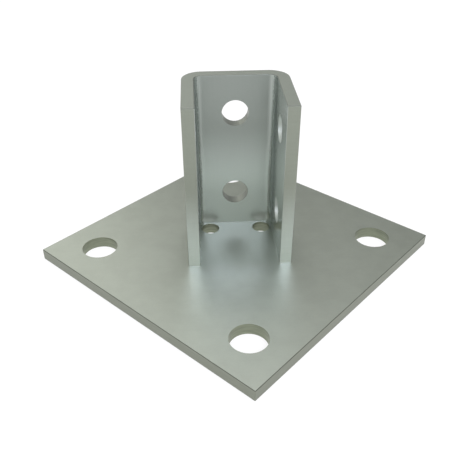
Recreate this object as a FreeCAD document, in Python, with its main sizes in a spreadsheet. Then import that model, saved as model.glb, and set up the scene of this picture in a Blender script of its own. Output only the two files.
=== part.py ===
import FreeCAD, Part
import math
import os

import Sketcher

# A steel post base: a U-shaped channel bracket welded upright on a square base plate.
# All sizes are in millimetres. The origin is the centre of the plate's underside, Z is up,
# and the channel's open side faces -Y. The plate is turned so that a corner faces -Y too.

SIZES = {
    # base plate
    "plate_side": 152.4,
    "plate_thickness": 6.35,
    "plate_turn": 45.0,  # degrees between the plate's sides and the channel's walls
    "anchor_spacing": 107.95,  # between anchor holes, along the plate's sides
    "anchor_hole": 19.05,
    # channel bracket, folded from one strip
    "channel_wall": 6.35,
    "channel_inner_width": 42.07,
    "channel_inner_depth": 41.275,  # from the open side to the back wall's inner face
    "channel_height": 88.9,
    "bend_radius": 3.97,  # on the inside of each bend
    "bolt_hole": 14.2875,
    "bolt_first_height": 20.6375,  # lowest bolt holes above the plate
    "bolt_spacing": 47.625,
    "bolt_from_mouth": 20.6375,  # side walls' bolt holes from the open side
    # drain holes in the plate, inside the channel's two back corners
    "drain_hole": 10.0,
    "drain_from_side": 6.44,  # hole's centre from the side wall's inner face
    "drain_from_back": 6.04,  # hole's centre from the back wall's inner face
    # fillet weld outside the channel's foot
    "weld_leg": 4.76,
    "weld_crown": 0.5,  # how far the bead's face stands out past a straight one
    "weld_wrap": 38.0,  # degrees of each bend that the bead follows
    # rounding of the cut edges
    "edge_break": 0.4,
}

SHEET = "Sizes"
ANCHOR_HOLES = 4
BOLT_ROWS = 2
WELD_END_TURN = 120.0  # degrees; past a right angle, so that the bead's end meets the wall
TOUCHING = 1e-6

# how a sketch numbers its own axes and origin, and the points of each edge in it
HORIZONTAL_AXIS_INDEX = -1
VERTICAL_AXIS_INDEX = -2
ORIGIN_POINT = (-1, 1)
START, END, CENTRE = range(1, 4)


def vector(x, y):
    return FreeCAD.Vector(x, y, 0)


def half(alias):
    return SIZES[alias] / 2


def fill_sheet(doc):
    sheet = doc.addObject("Spreadsheet::Sheet", SHEET)
    for row, (alias, value) in enumerate(SIZES.items(), start=1):
        sheet.set(f"A{row}", alias)
        sheet.set(f"B{row}", str(value))
        sheet.setAlias(f"B{row}", alias)
    doc.recompute()


def origin_plane(body, role):
    return next(f for f in body.Origin.OriginFeatures if f.Role == role)


def new_sketch(body, name, role="XY_Plane"):
    sketch = body.newObject("Sketcher::SketchObject", name)
    sketch.AttachmentSupport = (origin_plane(body, role), [""])
    sketch.MapMode = "FlatFace"
    return sketch


def dimension(sketch, name, expression, *constraint):
    """Adds a constraint whose value follows an expression of the sheet's sizes."""
    index = sketch.addConstraint(Sketcher.Constraint(*constraint))
    sketch.renameConstraint(index, name)
    sketch.setExpression(f"Constraints.{name}", expression)


def line(start, end):
    return Part.LineSegment(vector(*start), vector(*end))


def arc(centre, radius, first_angle, last_angle):
    circle = Part.Circle(vector(*centre), FreeCAD.Vector(0, 0, 1), radius)
    return Part.ArcOfCircle(circle, math.radians(first_angle), math.radians(last_angle))


def join(sketch, first, second):
    """Joins two neighbours where they meet, and keeps a line tangent to an arc."""
    kinds = {type(sketch.Geometry[first]), type(sketch.Geometry[second])}
    for point in (START, END):
        for other in (START, END):
            gap = sketch.getPoint(first, point) - sketch.getPoint(second, other)
            if gap.Length < TOUCHING:
                kind = "Tangent" if len(kinds) == 2 else "Coincident"
                sketch.addConstraint(Sketcher.Constraint(kind, first, point, second, other))
                return
    raise ValueError(f"{sketch.Name}: edges {first} and {second} don't meet")


def trace(sketch, edges):
    """Draws a closed outline whose straight edges all run along the sketch's axes."""
    for edge in edges:
        index = sketch.addGeometry(edge, False)
        if isinstance(edge, Part.LineSegment):
            run = edge.EndPoint - edge.StartPoint
            way = "Horizontal" if abs(run.x) > abs(run.y) else "Vertical"
            sketch.addConstraint(Sketcher.Constraint(way, index))
    for index in range(len(edges)):
        join(sketch, index, (index + 1) % len(edges))


def draw_circle(sketch, diameter, across, up):
    """Draws a circle by its size's alias and two expressions for its centre."""
    radius = SIZES[diameter] / 2
    index = sketch.addGeometry(Part.Circle(vector(radius, radius), FreeCAD.Vector(0, 0, 1), radius))
    dimension(sketch, "diameter", f"{SHEET}.{diameter}", "Diameter", index, 2 * radius)
    place = (*ORIGIN_POINT, index, CENTRE)
    if across:
        dimension(sketch, "across", across, "DistanceX", *place, radius)
    else:
        sketch.addConstraint(Sketcher.Constraint("PointOnObject", index, CENTRE, VERTICAL_AXIS_INDEX))
    if up:
        dimension(sketch, "up", up, "DistanceY", *place, radius)
    else:
        sketch.addConstraint(Sketcher.Constraint("PointOnObject", index, CENTRE, HORIZONTAL_AXIS_INDEX))


def new_pad(body, name, sketch, length):
    pad = body.newObject("PartDesign::Pad", name)
    pad.Profile = sketch
    pad.setExpression("Length", length)
    return pad


def cut_through(body, name, sketch, side="One side", reverse=False):
    """Cuts the sketch right through the body, and checks that it did cut."""
    body.Document.recompute()
    volume_before = body.Shape.Volume
    pocket = body.newObject("PartDesign::Pocket", name)
    pocket.Profile = sketch
    pocket.Type = "ThroughAll"
    pocket.SideType = side
    pocket.Reversed = reverse
    body.Document.recompute()
    if pocket.Shape.Volume > volume_before - TOUCHING:
        raise ValueError(f"{name} cuts nothing")
    return pocket


def repeat(body, kind, name, originals, **settings):
    """Repeats earlier features by a pattern or a mirror, and makes the result the body's tip."""
    pattern = body.newObject(f"PartDesign::{kind}", name)
    pattern.Originals = originals
    for setting, value in settings.items():
        setattr(pattern, setting, value)
    body.Tip = pattern
    return pattern


def round_edges(body, name, feature, edges):
    fillet = body.newObject("PartDesign::Fillet", name)
    fillet.Base = (feature, edges)
    fillet.setExpression("Radius", f"{SHEET}.edge_break")
    return fillet


def new_body(doc, label, height=None):
    """A new piece, standing at a height that follows an expression of the sheet's sizes."""
    body = doc.addObject("PartDesign::Body", label)
    body.Label = label
    if height:
        body.setExpression("Placement.Base.z", height)
    return body


# The base plate is a flat square with broken edges. It is drawn square to its own axes and
# then turned under the channel, so the drain holes are drawn turned back.


def build_base_plate(doc):
    body = new_body(doc, "base_plate")
    side = half("plate_side")
    outline = new_sketch(body, "plate_outline")
    corners = [(-side, -side), (side, -side), (side, side), (-side, side)]
    trace(outline, [line(corners[i - 1], corners[i]) for i in range(len(corners))])
    outline.addConstraint(Sketcher.Constraint("Symmetric", 0, START, 1, END, *ORIGIN_POINT))
    dimension(outline, "width", f"{SHEET}.plate_side", "DistanceX", 1, START, 1, END, 2 * side)
    dimension(outline, "length", f"{SHEET}.plate_side", "DistanceY", 2, START, 2, END, 2 * side)
    slab = new_pad(body, "plate_slab", outline, f"{SHEET}.plate_thickness")
    doc.recompute()
    edges = [f"Edge{i}" for i in range(1, len(slab.Shape.Edges) + 1)]
    round_edges(body, "plate_edges", slab, edges)

    anchor = new_sketch(body, "anchor_circle")
    reach = f"{SHEET}.anchor_spacing / 2"
    draw_circle(anchor, "anchor_hole", reach, reach)
    first_anchor = cut_through(body, "anchor_hole_first", anchor, reverse=True)
    repeat(
        body, "PolarPattern", "anchor_holes", [first_anchor],
        Axis=(anchor, ["N_Axis"]), Angle=360, Occurrences=ANCHOR_HOLES,
    )

    drain = new_sketch(body, "drain_circle")
    drain.AttachmentOffset = FreeCAD.Placement(
        FreeCAD.Vector(), FreeCAD.Rotation(FreeCAD.Vector(0, 0, -1), SIZES["plate_turn"])
    )
    drain.setExpression("AttachmentOffset.Rotation.Angle", f"{SHEET}.plate_turn")
    draw_circle(
        drain, "drain_hole",
        f"{SHEET}.channel_inner_width / 2 - {SHEET}.drain_from_side",
        f"{SHEET}.channel_inner_depth / 2 - {SHEET}.drain_from_back",
    )
    first_drain = cut_through(body, "drain_hole_first", drain, reverse=True)
    repeat(body, "Mirrored", "drain_holes", [first_drain], MirrorPlane=(drain, ["V_Axis"]))

    body.Placement = FreeCAD.Placement(
        FreeCAD.Vector(), FreeCAD.Rotation(FreeCAD.Vector(0, 0, 1), SIZES["plate_turn"])
    )
    body.setExpression("Placement.Rotation.Angle", f"{SHEET}.plate_turn")
    return body


# The channel is one strip folded twice. Its inside is centred over the plate, so half its
# inner depth lies on either side of the origin. Both faces of a bend share one centre.


def channel_lines():
    """Half the inner width, half the inner depth, the bend's centre and its outer radius."""
    inner_x = half("channel_inner_width")
    inner_y = half("channel_inner_depth")
    bend = SIZES["bend_radius"]
    return inner_x, inner_y, (inner_x - bend, inner_y - bend), bend + SIZES["channel_wall"]


def channel_outside():
    """The outline's outer run, from the left wall's open end round to the right one's."""
    inner_x, inner_y, (centre_x, centre_y), outer = channel_lines()
    outer_x = inner_x + SIZES["channel_wall"]
    outer_y = inner_y + SIZES["channel_wall"]
    return [
        line((-outer_x, -inner_y), (-outer_x, centre_y)),
        arc((-centre_x, centre_y), outer, 90, 180),
        line((-centre_x, outer_y), (centre_x, outer_y)),
        arc((centre_x, centre_y), outer, 0, 90),
        line((outer_x, centre_y), (outer_x, -inner_y)),
    ]


def build_channel_bracket(doc):
    body = new_body(doc, "channel_bracket", f"{SHEET}.plate_thickness")
    inner_x, inner_y, (centre_x, centre_y), outer = channel_lines()
    wall = SIZES["channel_wall"]
    bend = SIZES["bend_radius"]

    outline = new_sketch(body, "channel_outline")
    inside = [
        line((inner_x, -inner_y), (inner_x, centre_y)),
        arc((centre_x, centre_y), bend, 0, 90),
        line((centre_x, inner_y), (-centre_x, inner_y)),
        arc((-centre_x, centre_y), bend, 90, 180),
        line((-inner_x, centre_y), (-inner_x, -inner_y)),
    ]
    right_end = line((inner_x + wall, -inner_y), (inner_x, -inner_y))
    left_end = line((-inner_x, -inner_y), (-inner_x - wall, -inner_y))
    trace(outline, [*channel_outside(), right_end, *inside, left_end])
    left_outer, left_bend, _, right_bend, right_outer, _ = range(6)
    right_inner, right_inner_bend, back_inner, left_inner_bend, left_inner = range(6, 11)
    for rule in (
        ("Coincident", left_bend, CENTRE, left_inner_bend, CENTRE),
        ("Coincident", right_bend, CENTRE, right_inner_bend, CENTRE),
        ("Symmetric", left_outer, START, right_outer, END, VERTICAL_AXIS_INDEX),
        ("Equal", left_inner_bend, right_inner_bend),
    ):
        outline.addConstraint(Sketcher.Constraint(*rule))
    dimension(outline, "bend", f"{SHEET}.bend_radius", "Radius", left_inner_bend, bend)
    dimension(
        outline, "wall", f"{SHEET}.channel_wall",
        "DistanceX", left_outer, START, left_inner, END, wall,
    )
    dimension(
        outline, "width", f"{SHEET}.channel_inner_width",
        "DistanceX", left_inner, END, right_inner, START, 2 * inner_x,
    )
    dimension(
        outline, "depth", f"{SHEET}.channel_inner_depth",
        "DistanceY", right_inner, START, back_inner, START, 2 * inner_y,
    )
    dimension(
        outline, "back", f"{SHEET}.channel_inner_depth / 2",
        "DistanceY", *ORIGIN_POINT, back_inner, START, inner_y,
    )
    strip = new_pad(body, "channel_strip", outline, f"{SHEET}.channel_height")
    doc.recompute()
    round_edges(body, "channel_edges", strip, open_edges(strip.Shape, -inner_y))

    back = new_sketch(body, "back_bolt_circle", "XZ_Plane")
    draw_circle(back, "bolt_hole", None, f"{SHEET}.bolt_first_height")
    back_hole = cut_through(body, "back_bolt_hole", back)
    sides = new_sketch(body, "side_bolt_circle", "YZ_Plane")
    draw_circle(
        sides, "bolt_hole",
        f"{SHEET}.bolt_from_mouth - {SHEET}.channel_inner_depth / 2",
        f"{SHEET}.bolt_first_height",
    )
    side_holes = cut_through(body, "side_bolt_holes", sides, side="Symmetric")
    rows = repeat(
        body, "LinearPattern", "bolt_holes", [back_hole, side_holes],
        Direction=(back, ["V_Axis"]), Occurrences=BOLT_ROWS,
    )
    rows.setExpression("Length", f"{SHEET}.bolt_spacing")
    return body


def open_edges(shape, mouth_y):
    """The top rim and the open ends' upright corners. The foot stays sharp for the weld."""
    names = []
    for number, edge in enumerate(shape.Edges, start=1):
        box = edge.BoundBox
        on_top = box.ZMin > shape.BoundBox.ZMax - TOUCHING
        on_mouth = box.ZLength > TOUCHING and abs(box.YMax - mouth_y) < TOUCHING
        if on_top or on_mouth:
            names.append(f"Edge{number}")
    return names


# The weld is a fillet bead with a slightly crowned face. It runs along the back wall's
# foot and part of the way round both bends, and each end closes in a round stop.


def draw_bead(sketch, root, root_x):
    """The bead's section, with its root at a distance from the sketch's upright axis."""
    leg = SIZES["weld_leg"]
    crown = SIZES["weld_crown"]
    radius = (leg * leg / 2 + crown * crown) / (2 * crown)
    lean = math.degrees(math.acos((leg / math.sqrt(2)) / radius))
    middle = leg / 2 - (radius - crown) / math.sqrt(2)
    centre = (root_x + middle, middle)
    foot = sketch.addGeometry(line((root_x, 0), (root_x + leg, 0)))
    face = sketch.addGeometry(arc(centre, radius, lean - 45, 135 - lean))
    back = sketch.addGeometry(line((root_x, leg), (root_x, 0)))
    for rule in (
        ("Coincident", foot, END, face, START),
        ("Coincident", face, END, back, START),
        ("Coincident", back, END, foot, START),
        ("Horizontal", foot),
        ("Vertical", back),
        ("Equal", foot, back),
        ("PointOnObject", foot, START, HORIZONTAL_AXIS_INDEX),
    ):
        sketch.addConstraint(Sketcher.Constraint(*rule))
    dimension(sketch, "leg", f"{SHEET}.weld_leg", "DistanceX", foot, START, foot, END, leg)
    dimension(
        sketch, "face",
        f"({SHEET}.weld_leg ^ 2 / 2 + {SHEET}.weld_crown ^ 2) / (2 * {SHEET}.weld_crown)",
        "Radius", face, radius,
    )
    if root:
        dimension(sketch, "root", root, "DistanceX", *ORIGIN_POINT, foot, START, root_x)
    else:
        sketch.addConstraint(Sketcher.Constraint("PointOnObject", foot, START, VERTICAL_AXIS_INDEX))


def turn_bead(body, name, sketch, angle):
    """Turns a section about its sketch's upright axis, from the back wall towards a side."""
    turned = body.newObject("PartDesign::Revolution", name)
    turned.Profile = sketch
    turned.ReferenceAxis = (sketch, ["V_Axis"])
    turned.Reversed = True
    if isinstance(angle, str):
        turned.setExpression("Angle", angle)
    else:
        turned.Angle = angle
    return turned


def build_foot_weld(doc):
    body = new_body(doc, "foot_weld", f"{SHEET}.plate_thickness")
    _, inner_y, _, outer = channel_lines()
    centre_x = f"({SHEET}.channel_inner_width / 2 - {SHEET}.bend_radius)"
    centre_y = f"({SHEET}.channel_inner_depth / 2 - {SHEET}.bend_radius)"
    outer_radius = f"({SHEET}.bend_radius + {SHEET}.channel_wall)"

    straight = new_sketch(body, "straight_section", "YZ_Plane")
    draw_bead(
        straight,
        f"{SHEET}.channel_inner_depth / 2 + {SHEET}.channel_wall",
        inner_y + SIZES["channel_wall"],
    )
    run = new_pad(body, "straight_bead", straight, f"2 * {centre_x}")
    run.SideType = "Symmetric"

    # In this plane's own axes x is the model's Y, y is its Z and z is its X.
    bend = new_sketch(body, "bend_section", "YZ_Plane")
    bend.setExpression("AttachmentOffset.Base.x", centre_y)
    bend.setExpression("AttachmentOffset.Base.z", centre_x)
    draw_bead(bend, outer_radius, outer)
    bend_bead = turn_bead(body, "bend_bead", bend, f"{SHEET}.weld_wrap")

    stop = new_sketch(body, "stop_section", "YZ_Plane")
    stop.AttachmentOffset = FreeCAD.Placement(
        FreeCAD.Vector(), FreeCAD.Rotation(FreeCAD.Vector(0, -1, 0), SIZES["weld_wrap"])
    )
    wrap = f"{SHEET}.weld_wrap * 1 deg"
    stop.setExpression("AttachmentOffset.Base.x", f"{centre_y} + {outer_radius} * cos({wrap})")
    stop.setExpression("AttachmentOffset.Base.z", f"{centre_x} + {outer_radius} * sin({wrap})")
    stop.setExpression("AttachmentOffset.Rotation.Angle", f"{SHEET}.weld_wrap")
    draw_bead(stop, None, 0.0)
    stop_bead = turn_bead(body, "stop_bead", stop, WELD_END_TURN)

    repeat(
        body, "Mirrored", "other_side", [bend_bead, stop_bead],
        MirrorPlane=(origin_plane(body, "YZ_Plane"), [""]),
    )
    trim_to_channel(body)
    return body


def trim_to_channel(body):
    """Cuts away what the round stops leave inside the channel's outer face."""
    sketch = new_sketch(body, "channel_clearance")
    inner_x, inner_y, _, outer = channel_lines()
    outer_x = inner_x + SIZES["channel_wall"]
    mouth = line((outer_x, -inner_y), (-outer_x, -inner_y))
    trace(sketch, [*channel_outside(), mouth])
    left_wall, left_bend, back_wall, right_bend, right_wall = range(5)
    sketch.addConstraint(Sketcher.Constraint("Equal", left_bend, right_bend))
    dimension(
        sketch, "bend", f"{SHEET}.bend_radius + {SHEET}.channel_wall",
        "Radius", left_bend, outer,
    )
    dimension(
        sketch, "width", f"{SHEET}.channel_inner_width + 2 * {SHEET}.channel_wall",
        "DistanceX", left_wall, START, right_wall, END, 2 * outer_x,
    )
    dimension(
        sketch, "right", f"{SHEET}.channel_inner_width / 2 + {SHEET}.channel_wall",
        "DistanceX", *ORIGIN_POINT, right_wall, END, outer_x,
    )
    dimension(
        sketch, "mouth", f"-{SHEET}.channel_inner_depth / 2",
        "DistanceY", *ORIGIN_POINT, right_wall, END, -inner_y,
    )
    dimension(
        sketch, "back", f"{SHEET}.channel_inner_depth / 2 + {SHEET}.channel_wall",
        "DistanceY", *ORIGIN_POINT, back_wall, START, inner_y + SIZES["channel_wall"],
    )
    cut_through(body, "wall_face", sketch, reverse=True)


def check(doc, bodies):
    """Stops if any feature failed or a piece isn't one sound solid."""
    for item in doc.Objects:
        if "Invalid" in item.State or "Error" in item.State:
            raise ValueError(f"{item.Name} failed: {item.State}")
    for body in bodies:
        shape = body.Shape
        if shape.isNull() or not shape.isValid() or len(shape.Solids) != 1:
            raise ValueError(f"{body.Label} isn't one valid solid")


def main():
    doc = FreeCAD.newDocument("channel_base_bracket")
    fill_sheet(doc)
    bodies = [build_base_plate(doc), build_channel_bracket(doc), build_foot_weld(doc)]
    doc.recompute()
    check(doc, bodies)
    os.makedirs("parts", exist_ok=True)
    for body in bodies:
        body.Shape.exportStep(f"parts/{body.Label}.step")
        box = body.Shape.BoundBox
        print(body.Label, round(body.Shape.Volume, 1), "mm3, box", box)


main()
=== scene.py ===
import math

import bmesh
import bpy
from mathutils import Euler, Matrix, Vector


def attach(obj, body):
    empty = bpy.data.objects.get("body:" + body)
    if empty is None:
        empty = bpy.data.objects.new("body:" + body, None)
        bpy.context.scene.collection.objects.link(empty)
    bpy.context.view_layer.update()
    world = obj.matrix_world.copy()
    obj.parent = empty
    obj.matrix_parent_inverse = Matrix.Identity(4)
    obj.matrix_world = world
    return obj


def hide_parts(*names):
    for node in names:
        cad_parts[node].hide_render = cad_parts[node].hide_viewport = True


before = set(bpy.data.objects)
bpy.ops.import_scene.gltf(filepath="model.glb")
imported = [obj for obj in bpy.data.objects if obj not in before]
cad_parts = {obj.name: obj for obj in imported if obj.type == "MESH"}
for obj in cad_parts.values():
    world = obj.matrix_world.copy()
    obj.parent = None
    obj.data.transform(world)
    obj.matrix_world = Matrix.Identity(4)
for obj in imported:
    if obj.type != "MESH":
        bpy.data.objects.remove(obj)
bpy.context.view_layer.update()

# The looks of a zinc-plated channel base bracket. Lengths are in metres and angles in radians,
# unless a name ends in MM or DEG. The object stands on the floor at z = 0, with its open side
# towards -Y.

MM = 0.001

# base plate: its top face, the anchor holes on its diagonals and the drain holes
PLATE_TOP = 6.35 * MM
ANCHOR_OUT = 76.33 * MM
ANCHOR_RADIUS = 9.525 * MM
DRAIN_X = 14.595 * MM
DRAIN_Y = 14.5975 * MM
DRAIN_RADIUS = 5.0 * MM

# channel: the back wall's outer face, half its clear inside, the bends' centres and outer
# radius, and the two rows of bolt holes
BACK_FACE = 26.9875 * MM
INNER_X = 21.035 * MM
INNER_Y = 20.6375 * MM
BEND_X = 17.065 * MM
BEND_Y = 16.6675 * MM
BEND_OUTER = 10.32 * MM
BOLT_MIDDLE = 50.8 * MM
BOLT_HALF_SPACING = 23.8125 * MM
BOLT_RADIUS = 7.14375 * MM

# weld bead: how far it goes round each bend, and then round its own end
WELD_LEG = 4.76 * MM
WELD_CROWN = 0.5 * MM
WELD_WRAP = math.radians(38.0)
WELD_STOP = math.radians(120.0)


def linear_colour(hex_colour):
    """Turns an sRGB hex colour such as "9a9d93" into linear red, green, blue and alpha."""
    channels = [int(hex_colour[i:i + 2], 16) / 255 for i in (0, 2, 4)]
    linear = [c / 12.92 if c <= 0.04045 else ((c + 0.055) / 1.055) ** 2.4 for c in channels]
    return (*linear, 1.0)


def add_node(tree, kind, *values, sockets=None, **settings):
    """Adds a shader node, such as "Math", with its settings. The values fill its first sockets
    in their order, and sockets fills others by name or number. Each is a plain value, another
    node's output, or a whole node, which stands for its first output."""
    node = tree.nodes.new("ShaderNode" + kind)
    for name, setting in settings.items():
        setattr(node, name, setting)
    for key, value in [*enumerate(values), *(sockets or {}).items()]:
        if isinstance(value, bpy.types.Node):
            value = value.outputs[0]
        if isinstance(value, bpy.types.NodeSocket):
            tree.links.new(value, node.inputs[key])
        else:
            node.inputs[key].default_value = value
    return node


def new_material(name):
    """A material with an empty node tree."""
    material = bpy.data.materials.new(name)
    material.use_nodes = True
    material.node_tree.nodes.clear()
    return material, material.node_tree


# Zinc electroplated over rolled steel: a thin, even metal coat. Its passivated skin is a
# little milky, so it is less than a full metal, and it blurs what it mirrors to a semi-gloss.
# It shows faint cloudy patches where the coat grew a little thicker, and a fine grain from
# the rolled steel under it. Beside a sharp edge it is a little lighter. The narrow slope of a
# broken edge is dull, and its dark tone is painted shade that hides the highlight it catches.

ZINC_FACE = "959a91"
ZINC_CLOUD = "999e95"
ZINC_EDGE = "a6aba2"
ZINC_METALLIC = 0.92
PLATE_ROUGHNESS = 0.42
STRIP_ROUGHNESS = 0.4

# How wide each pattern's patches or lines are, and how many times longer than wide. The grain
# and the lines are really about 0.1 mm wide, too fine to show, so they are drawn coarser.
CLOUD_MM = 9.0
GRAIN_MM = 0.9
ROLL_LINE_MM = 0.6
CUT_LINE_MM = 0.7
WAVE_MM = 38.0
PLATE_ROLLING = (30.0, 1.0, 1.0)
STRIP_ROLLING = (1.0, 1.0, 30.0)
NO_ROLLING = (1.0, 1.0, 1.0)
CUT_LINE_STRETCH = (14.0, 14.0, 1.0)
GRAIN_OFFSET = (3.0, 7.0, 1.0)
PATTERN_ROUGHNESS = 0.55
CLOUD_CONTRAST = (0.3, 0.7)

# how far each pattern swings the tone or the roughness in all, and how high its lines stand
# where the grain is 1 high
GRAIN_SWING = 0.06
ROLL_SWING = 0.03
ROUGHNESS_SWING = 0.04
ROLL_RELIEF = 0.4
CUT_LINE_RELIEF = 2.0
FINE_BUMP = {"Strength": 0.25, "Distance": 0.02 * MM}
WAVE_BUMP = {"Strength": 0.3, "Distance": 0.1 * MM}

# the lighter tone beside an edge: how far it reaches, the cosines between which the rounded
# edge turns away from the face, and the tone's full share
EDGE_REACH = 0.5 * MM
EDGE_SAMPLES = 6
EDGE_TURN = (0.998, 0.95)
EDGE_SHARE = 0.6

# For each marked place: the tone, the roughness, and how far fine level lines from the tool
# swing that tone. Most of these tones are painted light and shade, not the coat's own colour.
# The inside of the channel and its cut ends are painted lightest at the foot.
# painted shade: the plate inside the channel's foot and before its mouth is darker
PLATE_INSIDE_PAINTED_SHADE = ("868b81", 0.44, 0.0)
# painted shade: the plate's hole walls are darker than its faces; their tool lines are real
DRILLED_WALL_PAINTED_SHADE = ("858b79", 0.42, 0.6)
# painted shade: the plate's sheared sides are darker than its faces; their tool lines are real
SHEARED_SIDE_PAINTED_SHADE = ("878b7f", 0.42, 0.3)
# painted shade: the broken edges' slopes are dark to hide their highlight; their dullness is
# real
BROKEN_EDGE_PAINTED_SHADE = ("5f635b", 0.55, 0.0)
# painted shade: the walls of the back wall's bolt holes are darker
BACK_HOLE_PAINTED_SHADE = ("82867e", 0.38, 0.0)
# painted light: the walls of the side walls' bolt holes are much lighter
SIDE_HOLE_PAINTED_LIGHT = ("cdd2cc", 0.4, 0.0)
# painted shade: the channel's inner faces are a shade darker than its outer faces
INSIDE_PAINTED_SHADE = ("929892", 0.34, 0.0)
# painted light: the inner faces are much lighter towards the foot, where the plate bounces
# light up
FOOT_PAINTED_LIGHT = ("d2d9d5", 0.36, 0.0)
# painted light: the folds and the side walls inside are much lighter
FOLD_PAINTED_LIGHT = ("d2d8d3", 0.32, 0.0)
# painted shade: the cut ends are darker than the faces; their tool lines are real
CUT_END_PAINTED_SHADE = ("8f9488", 0.38, 0.1)
# painted light: the cut ends are much lighter towards the foot, where the plate bounces light
# up
CUT_FOOT_PAINTED_LIGHT = ("dae1db", 0.40, 0.0)
SHEARED_RIM = ("91968d", 0.55, 0.1)

# a ramp between two values eases in and out, and runs downwards where the first is larger
SMOOTH = {"interpolation_type": "SMOOTHSTEP"}

# the Mix node's sockets for a factor and two colours, and its output for a colour
FACTOR, FIRST, SECOND, MIXED = 0, 6, 7, 2


def mottle(tree, place, patch_mm, detail=2.0, stretch=(1.0, 1.0, 1.0), offset=(0.0, 0.0, 0.0)):
    """Random patches about patch_mm across, and longer where stretch is larger."""
    scale = [1 / (patch_mm * MM * s) for s in stretch]
    mapped = add_node(
        tree, "Mapping", sockets={"Vector": place, "Location": offset, "Scale": scale},
    )
    return add_node(
        tree, "TexNoise",
        sockets={
            "Vector": mapped, "Scale": 1.0, "Detail": detail, "Roughness": PATTERN_ROUGHNESS,
        },
    ).outputs["Fac"]


def zinc_plating(name, roughness, patch_looks, rolling):
    """Zinc plating. The list of places pairs each mask of a place with the looks of the coat
    there, whose tones are mostly painted light and shade, and a mask is made from the tree,
    the place on the object and the way the surface faces.
    Where masks overlap, the later one sets the tone, and their steps of roughness add up."""
    material, tree = new_material(name)
    place = add_node(tree, "TexCoord").outputs["Object"]
    normal = add_node(tree, "NewGeometry").outputs["Normal"]
    clouds = mottle(tree, place, CLOUD_MM, detail=3.0)
    grain = mottle(tree, place, GRAIN_MM, offset=GRAIN_OFFSET)
    rolled = mottle(tree, place, ROLL_LINE_MM, detail=1.0, stretch=rolling)
    waves = mottle(tree, place, WAVE_MM, detail=0.0)

    cloudy = add_node(tree, "MapRange", clouds, *CLOUD_CONTRAST, **SMOOTH)
    face, cloud, edge = [linear_colour(c) for c in (ZINC_FACE, ZINC_CLOUD, ZINC_EDGE)]
    tone = add_node(
        tree, "Mix", sockets={FACTOR: cloudy, FIRST: face, SECOND: cloud}, data_type="RGBA",
    ).outputs[MIXED]
    grain_swing = add_node(
        tree, "Math", grain, GRAIN_SWING, 1 - GRAIN_SWING / 2, operation="MULTIPLY_ADD",
    )
    roll_swing = add_node(
        tree, "Math", rolled, ROLL_SWING, 1 - ROLL_SWING / 2, operation="MULTIPLY_ADD",
    )
    fine = add_node(tree, "Math", grain_swing, roll_swing, operation="MULTIPLY")
    rough = add_node(
        tree, "Math", add_node(tree, "Math", clouds, grain, operation="ADD"),
        ROUGHNESS_SWING, roughness - ROUGHNESS_SWING, operation="MULTIPLY_ADD",
    )
    relief = add_node(tree, "Math", rolled, ROLL_RELIEF, grain, operation="MULTIPLY_ADD")

    rounded = add_node(tree, "Bevel", sockets={"Radius": EDGE_REACH}, samples=EDGE_SAMPLES)
    turn = add_node(tree, "VectorMath", rounded, normal, operation="DOT_PRODUCT")
    beside_edge = add_node(
        tree, "MapRange", turn.outputs["Value"], *EDGE_TURN, 0.0, EDGE_SHARE, **SMOOTH,
    )
    tone = add_node(
        tree, "Mix", sockets={FACTOR: beside_edge, FIRST: tone, SECOND: edge}, data_type="RGBA",
    ).outputs[MIXED]

    # most of these tones are painted light and shade laid over the coat
    for mask, (patch_colour, patch_roughness, line_swing) in patch_looks:
        here = mask(tree, place, normal)
        tone = add_node(
            tree, "Mix", data_type="RGBA",
            sockets={FACTOR: here, FIRST: tone, SECOND: linear_colour(patch_colour)},
        ).outputs[MIXED]
        rough = add_node(
            tree, "Math", here, patch_roughness - roughness, rough, operation="MULTIPLY_ADD",
        )
        if line_swing:
            lines = mottle(tree, place, CUT_LINE_MM, stretch=CUT_LINE_STRETCH)
            either_way = add_node(tree, "Math", lines, 0.5, operation="SUBTRACT")
            lines = add_node(tree, "Math", here, either_way, operation="MULTIPLY")
            fine = add_node(tree, "Math", lines, line_swing, fine, operation="MULTIPLY_ADD")
            relief = add_node(
                tree, "Math", lines, CUT_LINE_RELIEF, relief, operation="MULTIPLY_ADD",
            )

    colour = add_node(
        tree, "Mix", sockets={FACTOR: 1.0, FIRST: tone, SECOND: fine},
        data_type="RGBA", blend_type="MULTIPLY",
    ).outputs[MIXED]
    fine_bump = add_node(tree, "Bump", sockets={"Height": relief, **FINE_BUMP})
    bump = add_node(tree, "Bump", sockets={"Height": waves, "Normal": fine_bump, **WAVE_BUMP})
    surface = add_node(
        tree, "BsdfPrincipled",
        sockets={
            "Base Color": colour, "Metallic": ZINC_METALLIC, "Roughness": rough, "Normal": bump,
        },
    )
    add_node(tree, "OutputMaterial", surface)
    return material


# The masks of the marked places, each 1 there, 0 elsewhere and smooth between.

# from a hole's wall, or from a face of the strip, to where its coat starts and ends its fade
HOLE_FADE = (0.02 * MM, 0.12 * MM)
FACE_FADE = (0.05 * MM, 0.3 * MM)

# how far a surface looks up, from 0 for a wall to 1 for a level face
SIDE_LEVEL = (0.7, 0.3)
SLOPE_LOW = (0.3, 0.5)
SLOPE_HIGH = (0.97, 0.88)
RIM_LEVEL = (0.9, 0.98)

# the heights between which the painted light at the foot of the inner faces and cut ends comes
# in
FOOT_HEIGHT = (70.0 * MM, 34.0 * MM)
CUT_FOOT_HEIGHT = (56.0 * MM, 14.0 * MM)

# how far past a bend's centre the fold's painted light comes in
FOLD_REACH = (0.3 * MM, 3.4 * MM)

# how far the plate's painted shade fades beside, in front of and behind the channel's inside
BESIDE_FADE = 1.0 * MM
FRONT_FADE = (-12.0 * MM, 6.0 * MM)
BEHIND_FADE = 2.0 * MM


def distance(tree, across, along):
    """How far a point lies from an axis, from its two offsets."""
    offset = add_node(tree, "CombineXYZ", across, along)
    return add_node(tree, "VectorMath", offset, operation="LENGTH").outputs["Value"]


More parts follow.
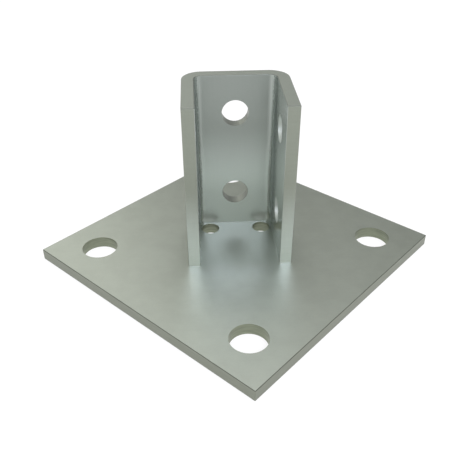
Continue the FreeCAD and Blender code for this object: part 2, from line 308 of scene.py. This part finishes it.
def hole_wall(tree, from_axis, radius):
    """A hole's wall, which lies at radius from its axis."""
    start, end = HOLE_FADE
    return add_node(tree, "MapRange", from_axis, radius + end, radius + start, **SMOOTH)


def plate_holes(tree, place, normal):
    """The walls of the plate's holes. Folding the plate about its diagonals leaves one anchor
    hole, and folding it left to right leaves one drain hole."""
    x, y, _ = add_node(tree, "SeparateXYZ", place).outputs
    right = add_node(tree, "Math", x, operation="ABSOLUTE")
    back = add_node(tree, "Math", y, operation="ABSOLUTE")
    outward = add_node(tree, "Math", right, back, operation="MAXIMUM")
    sideways = add_node(tree, "Math", right, back, operation="MINIMUM")
    from_anchor = add_node(tree, "Math", outward, ANCHOR_OUT, operation="SUBTRACT")
    anchor = hole_wall(tree, distance(tree, from_anchor, sideways), ANCHOR_RADIUS)
    across = add_node(tree, "Math", right, DRAIN_X, operation="SUBTRACT")
    along = add_node(tree, "Math", y, DRAIN_Y, operation="SUBTRACT")
    drain = hole_wall(tree, distance(tree, across, along), DRAIN_RADIUS)
    return add_node(tree, "Math", anchor, drain, operation="MAXIMUM")


def plate_inside(tree, place, normal):
    """The plate inside the channel's foot, fading out in front of its mouth, where a darker
    tone is painted shade.
    """
    x, y, _ = add_node(tree, "SeparateXYZ", place).outputs
    out = add_node(tree, "Math", x, operation="ABSOLUTE")
    beside = add_node(
        tree, "MapRange", out, INNER_X + BESIDE_FADE, INNER_X - BESIDE_FADE, **SMOOTH,
    )
    start, end = FRONT_FADE
    before = add_node(tree, "MapRange", y, start - INNER_Y, end - INNER_Y, **SMOOTH)
    behind = add_node(tree, "MapRange", y, INNER_Y + BEHIND_FADE, INNER_Y, **SMOOTH)
    along = add_node(tree, "Math", before, behind, operation="MULTIPLY")
    return add_node(tree, "Math", beside, along, operation="MULTIPLY")


def plate_sides(tree, place, normal):
    """The plate's sheared sides and its holes' walls: the faces that don't look up or down."""
    level = add_node(
        tree, "Math", add_node(tree, "SeparateXYZ", normal).outputs["Z"], operation="ABSOLUTE",
    )
    return add_node(tree, "MapRange", level, *SIDE_LEVEL, **SMOOTH)


def broken_edges(tree, place, normal):
    """The narrow slopes where a sharp upper or lower edge was broken."""
    level = add_node(
        tree, "Math", add_node(tree, "SeparateXYZ", normal).outputs["Z"], operation="ABSOLUTE",
    )
    off_wall = add_node(tree, "MapRange", level, *SLOPE_LOW, **SMOOTH)
    off_face = add_node(tree, "MapRange", level, *SLOPE_HIGH, **SMOOTH)
    return add_node(tree, "Math", off_wall, off_face, operation="MULTIPLY")


def bolt_holes(tree, across, height):
    """The walls of the bolt holes through one wall, or through two that face each other.
    Folding the wall at half its bolts' height leaves one hole."""
    above = add_node(tree, "Math", height, BOLT_MIDDLE, operation="SUBTRACT")
    from_middle = add_node(tree, "Math", above, operation="ABSOLUTE")
    from_row = add_node(tree, "Math", from_middle, BOLT_HALF_SPACING, operation="SUBTRACT")
    return hole_wall(tree, distance(tree, across, from_row), BOLT_RADIUS)


def back_holes(tree, place, normal):
    """The walls of the two bolt holes through the channel's back wall."""
    x, _, z = add_node(tree, "SeparateXYZ", place).outputs
    return bolt_holes(tree, x, z)


def side_holes(tree, place, normal):
    """The walls of the four bolt holes through the channel's side walls."""
    _, y, z = add_node(tree, "SeparateXYZ", place).outputs
    return bolt_holes(tree, y, z)


def channel_inside(tree, place, normal):
    """The inner faces of the channel. Their own tone, a shade darker than the outer faces, is
    painted shade, and they are glossier.
    """
    x, y, _ = add_node(tree, "SeparateXYZ", place).outputs
    out = add_node(tree, "Math", x, operation="ABSOLUTE")
    start, end = FACE_FADE
    beside = add_node(tree, "MapRange", out, INNER_X + end, INNER_X + start, **SMOOTH)
    before = add_node(tree, "MapRange", y, INNER_Y + end, INNER_Y + start, **SMOOTH)
    return add_node(tree, "Math", beside, before, operation="MINIMUM")


def channel_foot(tree, place, normal):
    """The lower part of the channel's inner faces, whose much lighter tone is painted light,
    for what the plate bounces up.
    """
    height = add_node(tree, "SeparateXYZ", place).outputs["Z"]
    low = add_node(tree, "MapRange", height, *FOOT_HEIGHT, **SMOOTH)
    inner = channel_inside(tree, place, normal)
    return add_node(tree, "Math", low, inner, operation="MULTIPLY")


def channel_folds(tree, place, normal):
    """The insides of both folds and of the side walls, whose much lighter tone is painted
    light.
    """
    x = add_node(tree, "SeparateXYZ", place).outputs["X"]
    out = add_node(tree, "Math", x, operation="ABSOLUTE")
    start, end = FOLD_REACH
    fold = add_node(tree, "MapRange", out, BEND_X + start, BEND_X + end, **SMOOTH)
    inner = channel_inside(tree, place, normal)
    return add_node(tree, "Math", fold, inner, operation="MULTIPLY")


def cut_ends(tree, place, normal):
    """The strip's two cut ends, which are the channel's narrow front faces."""
    y = add_node(tree, "SeparateXYZ", place).outputs["Y"]
    start, end = FACE_FADE
    return add_node(tree, "MapRange", y, end - INNER_Y, start - INNER_Y, **SMOOTH)


def cut_foot(tree, place, normal):
    """The lower part of the two cut ends."""
    height = add_node(tree, "SeparateXYZ", place).outputs["Z"]
    low = add_node(tree, "MapRange", height, *CUT_FOOT_HEIGHT, **SMOOTH)
    return add_node(tree, "Math", low, cut_ends(tree, place, normal), operation="MULTIPLY")


def sheared_rim(tree, place, normal):
    """The strip's sheared upper edge, which is rougher than its faces."""
    upward = add_node(tree, "SeparateXYZ", normal).outputs["Z"]
    return add_node(tree, "MapRange", upward, *RIM_LEVEL, **SMOOTH)


plate_zinc = zinc_plating(
    "zinc_plated_steel_plate", PLATE_ROUGHNESS,
    [
        (plate_inside, PLATE_INSIDE_PAINTED_SHADE), (plate_sides, SHEARED_SIDE_PAINTED_SHADE), (plate_holes, DRILLED_WALL_PAINTED_SHADE),
        (broken_edges, BROKEN_EDGE_PAINTED_SHADE),
    ],
    PLATE_ROLLING,
)
channel_zinc = zinc_plating(
    "zinc_plated_folded_strip", STRIP_ROUGHNESS,
    [
        (cut_ends, CUT_END_PAINTED_SHADE), (cut_foot, CUT_FOOT_PAINTED_LIGHT), (channel_inside, INSIDE_PAINTED_SHADE),
        (channel_foot, FOOT_PAINTED_LIGHT), (channel_folds, FOLD_PAINTED_LIGHT), (sheared_rim, SHEARED_RIM),
        (broken_edges, BROKEN_EDGE_PAINTED_SHADE), (back_holes, BACK_HOLE_PAINTED_SHADE), (side_holes, SIDE_HOLE_PAINTED_LIGHT),
    ],
    STRIP_ROLLING,
)
weld_zinc = zinc_plating("zinc_plated_weld_metal", STRIP_ROUGHNESS, [], NO_ROLLING)
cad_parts["base_plate"].material_slots[0].material = plate_zinc
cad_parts["channel_bracket"].material_slots[0].material = channel_zinc


# The weld bead: one run laid from left to right, so its ripples all curve the same way.

UP = Vector((0, 0, 1))
SECTION_STEPS = 9
STEP = 0.25 * MM
JOIN_DISTANCE = 0.002 * MM
TINY_EDGE = 0.001 * MM
SHARP_EDGE = math.radians(50)

# A ripple rises slowly and drops fast. RIDGE makes its peak 1, and RIPPLE_LEVEL is the part of
# it under the smooth bead.
RIPPLE_PITCH = 1.7 * MM
RIPPLE_HEIGHT = 0.16 * MM
RIPPLE_BOW = 1.1 * MM
RIPPLE_AT_TOE = 0.35
RIPPLE_LEVEL = 0.45
RIPPLE_FADE = 4
RIDGE = 27 / 4

# how the welder's pace varies: the swing in ripples, the length and the start of two waves
PACE_WAVES = ((0.25, 4.3 * MM, 0.0), (0.15, 1.9 * MM, 1.0))

# how the two toes wander, out of step with each other, while the root stays
TOE_WANDER = 0.14 * MM
TOE_WAVE = 1.3 * MM
TOE_STEP = 2.0
ROOT_REACH = 0.02 * MM


def sweep(bm, edges, **settings):
    """Spins or slides a loop of edges, and gives the loop it ends on."""
    made = bmesh.ops.spin(bm, geom=edges, use_merge=False, use_duplicate=False, **settings)
    return [item for item in made["geom_last"] if isinstance(item, bmesh.types.BMEdge)]


def bead_section(bm):
    """The bead's crowned section, in the middle of the back wall."""
    root = Vector((0, BACK_FACE, PLATE_TOP))
    legs = ((0, 0, 0), (0, WELD_LEG, 0), (0, 0, WELD_LEG))
    corners = [bm.verts.new(root + Vector(leg)) for leg in legs]
    loop = [bm.edges.new((corners[i], corners[(i + 1) % 3])) for i in range(3)]
    bmesh.ops.subdivide_edges(bm, edges=[loop[1]], cuts=SECTION_STEPS)
    outward = Vector((0, 1, 1)).normalized()
    for vert in bm.verts:
        if vert not in corners:
            across = (vert.co.z - root.z - (vert.co.y - root.y)) / WELD_LEG
            vert.co += outward * WELD_CROWN * (1 - across * across)
    return bm.edges[:]


def run_bead(bm, section):
    """Half of the bead: along the back wall, round the bend, and round its own end."""
    end = sweep(
        bm, section, cent=(0, 0, 0), axis=UP, dvec=(STEP, 0, 0), angle=0,
        steps=round(BEND_X / STEP),
    )
    tail = {vert for edge in end for vert in edge.verts}
    bmesh.ops.translate(
        bm, verts=list(tail), vec=(BEND_X - max(vert.co.x for vert in tail), 0, 0),
    )
    end = sweep(
        bm, end, cent=(BEND_X, BEND_Y, 0), axis=UP, dvec=(0, 0, 0), angle=-WELD_WRAP,
        steps=round(WELD_WRAP * (BEND_OUTER + WELD_LEG / 2) / STEP),
    )
    pivot = (
        BEND_X + math.sin(WELD_WRAP) * BEND_OUTER, BEND_Y + math.cos(WELD_WRAP) * BEND_OUTER, 0,
    )
    end = sweep(
        bm, end, cent=pivot, axis=UP, dvec=(0, 0, 0), angle=-WELD_STOP,
        steps=round(WELD_STOP * WELD_LEG / 2 / STEP),
    )
    bmesh.ops.contextual_create(bm, geom=end)


def mirror_bead(bm):
    """The other half, joined to the first in one closed skin."""
    bmesh.ops.mirror(
        bm, geom=bm.verts[:] + bm.edges[:] + bm.faces[:], axis="X", merge_dist=TINY_EDGE,
    )
    bmesh.ops.remove_doubles(bm, verts=bm.verts, dist=JOIN_DISTANCE)
    bmesh.ops.dissolve_degenerate(bm, edges=bm.edges, dist=TINY_EDGE)
    bmesh.ops.recalc_face_normals(bm, faces=bm.faces)


def bead_place(point):
    """Where a point of the bead lies: along the run, out from the wall, and the way out."""
    side = math.copysign(1.0, point.x)
    past_straight = abs(point.x) - BEND_X
    if past_straight <= 0:
        return point.x, point.y - BACK_FACE, Vector((0, 1, 0))
    spoke = Vector((past_straight, point.y - BEND_Y))
    turn = math.atan2(spoke.x, spoke.y)
    if turn <= WELD_WRAP:
        along = BEND_X + turn * BEND_OUTER
        out = spoke.length - BEND_OUTER
    else:
        spoke -= Vector((math.sin(WELD_WRAP), math.cos(WELD_WRAP))) * BEND_OUTER
        out = spoke.length
        turn = math.atan2(spoke.x, spoke.y)
        along = BEND_X + WELD_WRAP * BEND_OUTER + (turn - WELD_WRAP) * WELD_LEG / 2
    way = spoke.normalized() if spoke.length > 0 else Vector((0, 1))
    return side * along, out, Vector((side * way.x, way.y, 0))


def ripple_bead(bm):
    """Raises the ripples on the bead's face, and lets its two toes wander."""
    for vert in bm.verts:
        along, out, way = bead_place(vert.co)
        height = vert.co.z - PLATE_TOP
        if out < ROOT_REACH and height < ROOT_REACH:
            continue
        across = max(-1.0, min(1.0, (height - out) / WELD_LEG))
        face = 1 - across * across
        travel = (along + RIPPLE_BOW * face) / RIPPLE_PITCH
        uneven = sum(
            swing * math.sin(along / wave + start) for swing, wave, start in PACE_WAVES
        )
        phase = (travel + uneven) % 1.0
        ridge = phase ** 2 * (1 - phase) * RIDGE
        share = RIPPLE_AT_TOE + (1 - RIPPLE_AT_TOE) * face
        lift = RIPPLE_HEIGHT * (ridge - RIPPLE_LEVEL) * share
        vert.co += (way + UP).normalized() * lift * min(1.0, RIPPLE_FADE * face)
        wander = TOE_WANDER * math.sin(along / TOE_WAVE + TOE_STEP * across) * (1 - face)
        if out > height:
            vert.co += way * wander
        elif height > out:
            vert.co.z += wander


def weld_bead():
    """The bead's own mesh, in place of the plain solid."""
    bm = bmesh.new()
    run_bead(bm, bead_section(bm))
    mirror_bead(bm)
    ripple_bead(bm)
    mesh = bpy.data.meshes.new("weld_bead")
    bm.to_mesh(mesh)
    bm.free()
    mesh.shade_smooth()
    mesh.set_sharp_from_angle(angle=SHARP_EDGE)
    mesh.materials.append(weld_zinc)
    bead = bpy.data.objects.new("weld_bead", mesh)
    bpy.context.scene.collection.objects.link(bead)
    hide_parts("foot_weld")
    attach(bead, "root")


weld_bead()


# The studio: a white floor that bends up into a backdrop all round, pale walls and soft lamps.

FLOOR_RADIUS = 6.0
FLOOR_SEGMENTS = 96
FLOOR_DROP = 0.05 * MM
BACKDROP_HEIGHT = 1.5
BACKDROP_BEND = 0.6
BACKDROP_BEND_STEPS = 8
FLOOR_COLOUR = "fafafa"
FLOOR_GLOW = 0.86
FLOOR_SHADE = 0.2
WALL_COLOUR = "dfe0dc"
WALL_STRENGTH = 0.46

# for each lamp: azimuth, elevation, distance, width and height, radiance and colour
SOFTBOXES = {
    "front_softbox": (8.0, 38.0, 1.6, (1.0, 0.5), 5.8, "dddeff"),
    "front_wide_softbox": (8.0, 32.0, 1.7, (2.2, 0.9), 1.5, "f2f6ff"),
    "front_high_softbox": (8.0, 60.0, 1.6, (1.6, 1.0), 1.8, "ffffff"),
    "top_softbox": (180.0, 85.0, 1.6, (1.2, 1.2), 1.5, "ffffff"),
    "back_softbox": (180.0, 56.0, 1.6, (1.1, 0.5), 2.1, "fcfcff"),
    "left_back_softbox": (207.0, 28.0, 1.6, (0.8, 1.25), 1.33, "fffef8"),
    "left_softbox": (270.0, 30.0, 1.6, (1.6, 1.0), 0.3, "ffffff"),
    "right_softbox": (90.0, 30.0, 1.6, (1.6, 1.0), 0.3, "ffffff"),
}

CAMERA_LENS_MM = 46.37
CAMERA_SENSOR_MM = 36.0
CAMERA_NEAREST = 10 * MM
CAMERA_PLACE = (-20.017 * MM, -278.871 * MM, 204.808 * MM)
CAMERA_TURN_DEG = (55.0579, 0.0239, -3.6618)


def floor_paint():
    """White paint. What the camera or a mirroring surface sees of it glows, so that it is
    white, and the part that the lamps light keeps the object's shadow."""
    material, tree = new_material("white_studio_floor")
    path = add_node(tree, "LightPath").outputs
    mirrored = add_node(
        tree, "Math", path["Is Glossy Ray"], path["Is Transmission Ray"], operation="MAXIMUM",
    )
    seen = add_node(tree, "Math", path["Is Camera Ray"], mirrored, operation="MAXIMUM")
    white = linear_colour(FLOOR_COLOUR)
    shaded = [c * FLOOR_SHADE for c in white[:3]] + [1.0]
    glow = add_node(tree, "Emission", white, FLOOR_GLOW)
    lit = add_node(tree, "BsdfDiffuse", shaded)
    glowing = add_node(tree, "AddShader", glow, lit)
    plain = add_node(tree, "BsdfDiffuse", white)
    add_node(tree, "OutputMaterial", add_node(tree, "MixShader", seen, plain, glowing))
    return material


def studio_floor():
    """A round floor a hair below the plate, with a low backdrop round its rim."""
    bm = bmesh.new()
    bmesh.ops.create_circle(bm, cap_ends=True, segments=FLOOR_SEGMENTS, radius=FLOOR_RADIUS)
    bmesh.ops.translate(bm, verts=bm.verts, vec=(0, 0, -FLOOR_DROP))
    rim = bm.edges[:]
    raised = bmesh.ops.extrude_edge_only(bm, edges=rim)["geom"]
    bmesh.ops.translate(
        bm, verts=[item for item in raised if isinstance(item, bmesh.types.BMVert)],
        vec=(0, 0, BACKDROP_HEIGHT),
    )
    bmesh.ops.bevel(
        bm, geom=rim, offset=BACKDROP_BEND, segments=BACKDROP_BEND_STEPS, profile=0.5,
        affect="EDGES", material=-1,
    )
    mesh = bpy.data.meshes.new("studio_floor")
    bm.to_mesh(mesh)
    bm.free()
    mesh.shade_smooth()
    mesh.materials.append(floor_paint())
    floor = bpy.data.objects.new("studio_floor", mesh)
    bpy.context.scene.collection.objects.link(floor)


def studio_walls():
    """Pale walls all round, which give the coat its soft, even grey."""
    world = bpy.data.worlds.new("studio_walls")
    bpy.context.scene.world = world
    world.use_nodes = True
    background = world.node_tree.nodes["Background"]
    background.inputs["Color"].default_value = linear_colour(WALL_COLOUR)
    background.inputs["Strength"].default_value = WALL_STRENGTH


def softbox(name, azimuth_deg, elevation_deg, away, size, radiance, colour):
    """A soft rectangular lamp that faces the object. Azimuth 0 is in front of the channel's
    open side and 90 on its right. Its power gives it the same radiance whatever its size."""
    azimuth = math.radians(azimuth_deg)
    elevation = math.radians(elevation_deg)
    toward = Vector((
        math.sin(azimuth) * math.cos(elevation),
        -math.cos(azimuth) * math.cos(elevation),
        math.sin(elevation),
    ))
    data = bpy.data.lights.new(name, "AREA")
    data.shape = "RECTANGLE"
    data.size, data.size_y = size
    data.color = linear_colour(colour)[:3]
    data.energy = radiance * math.pi * size[0] * size[1]
    lamp = bpy.data.objects.new(name, data)
    lamp.location = toward * away
    lamp.rotation_euler = toward.to_track_quat("Z", "Y").to_euler()
    bpy.context.scene.collection.objects.link(lamp)
    return lamp


def flag_plate(lamp):
    """Keeps a lamp off the plate, as a studio flag does, because the plate would mirror it
    to the views from behind."""
    flagged = bpy.data.collections.new("flagged_from_" + lamp.name)
    flagged.objects.link(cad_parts["base_plate"])
    flagged.collection_objects[0].light_linking.link_state = "EXCLUDE"
    lamp.light_linking.receiver_collection = flagged


def studio_camera():
    """The camera in front of the open side, and above it."""
    data = bpy.data.cameras.new("camera")
    data.lens = CAMERA_LENS_MM
    data.sensor_width = CAMERA_SENSOR_MM
    data.clip_start = CAMERA_NEAREST
    camera = bpy.data.objects.new("camera", data)
    camera.location = CAMERA_PLACE
    camera.rotation_euler = Euler([math.radians(angle) for angle in CAMERA_TURN_DEG])
    bpy.context.scene.collection.objects.link(camera)
    bpy.context.scene.camera = camera


studio_floor()
studio_walls()
softboxes = {name: softbox(name, *settings) for name, settings in SOFTBOXES.items()}
flag_plate(softboxes["front_softbox"])
studio_camera()
bpy.context.scene.view_settings.view_transform = "Standard"
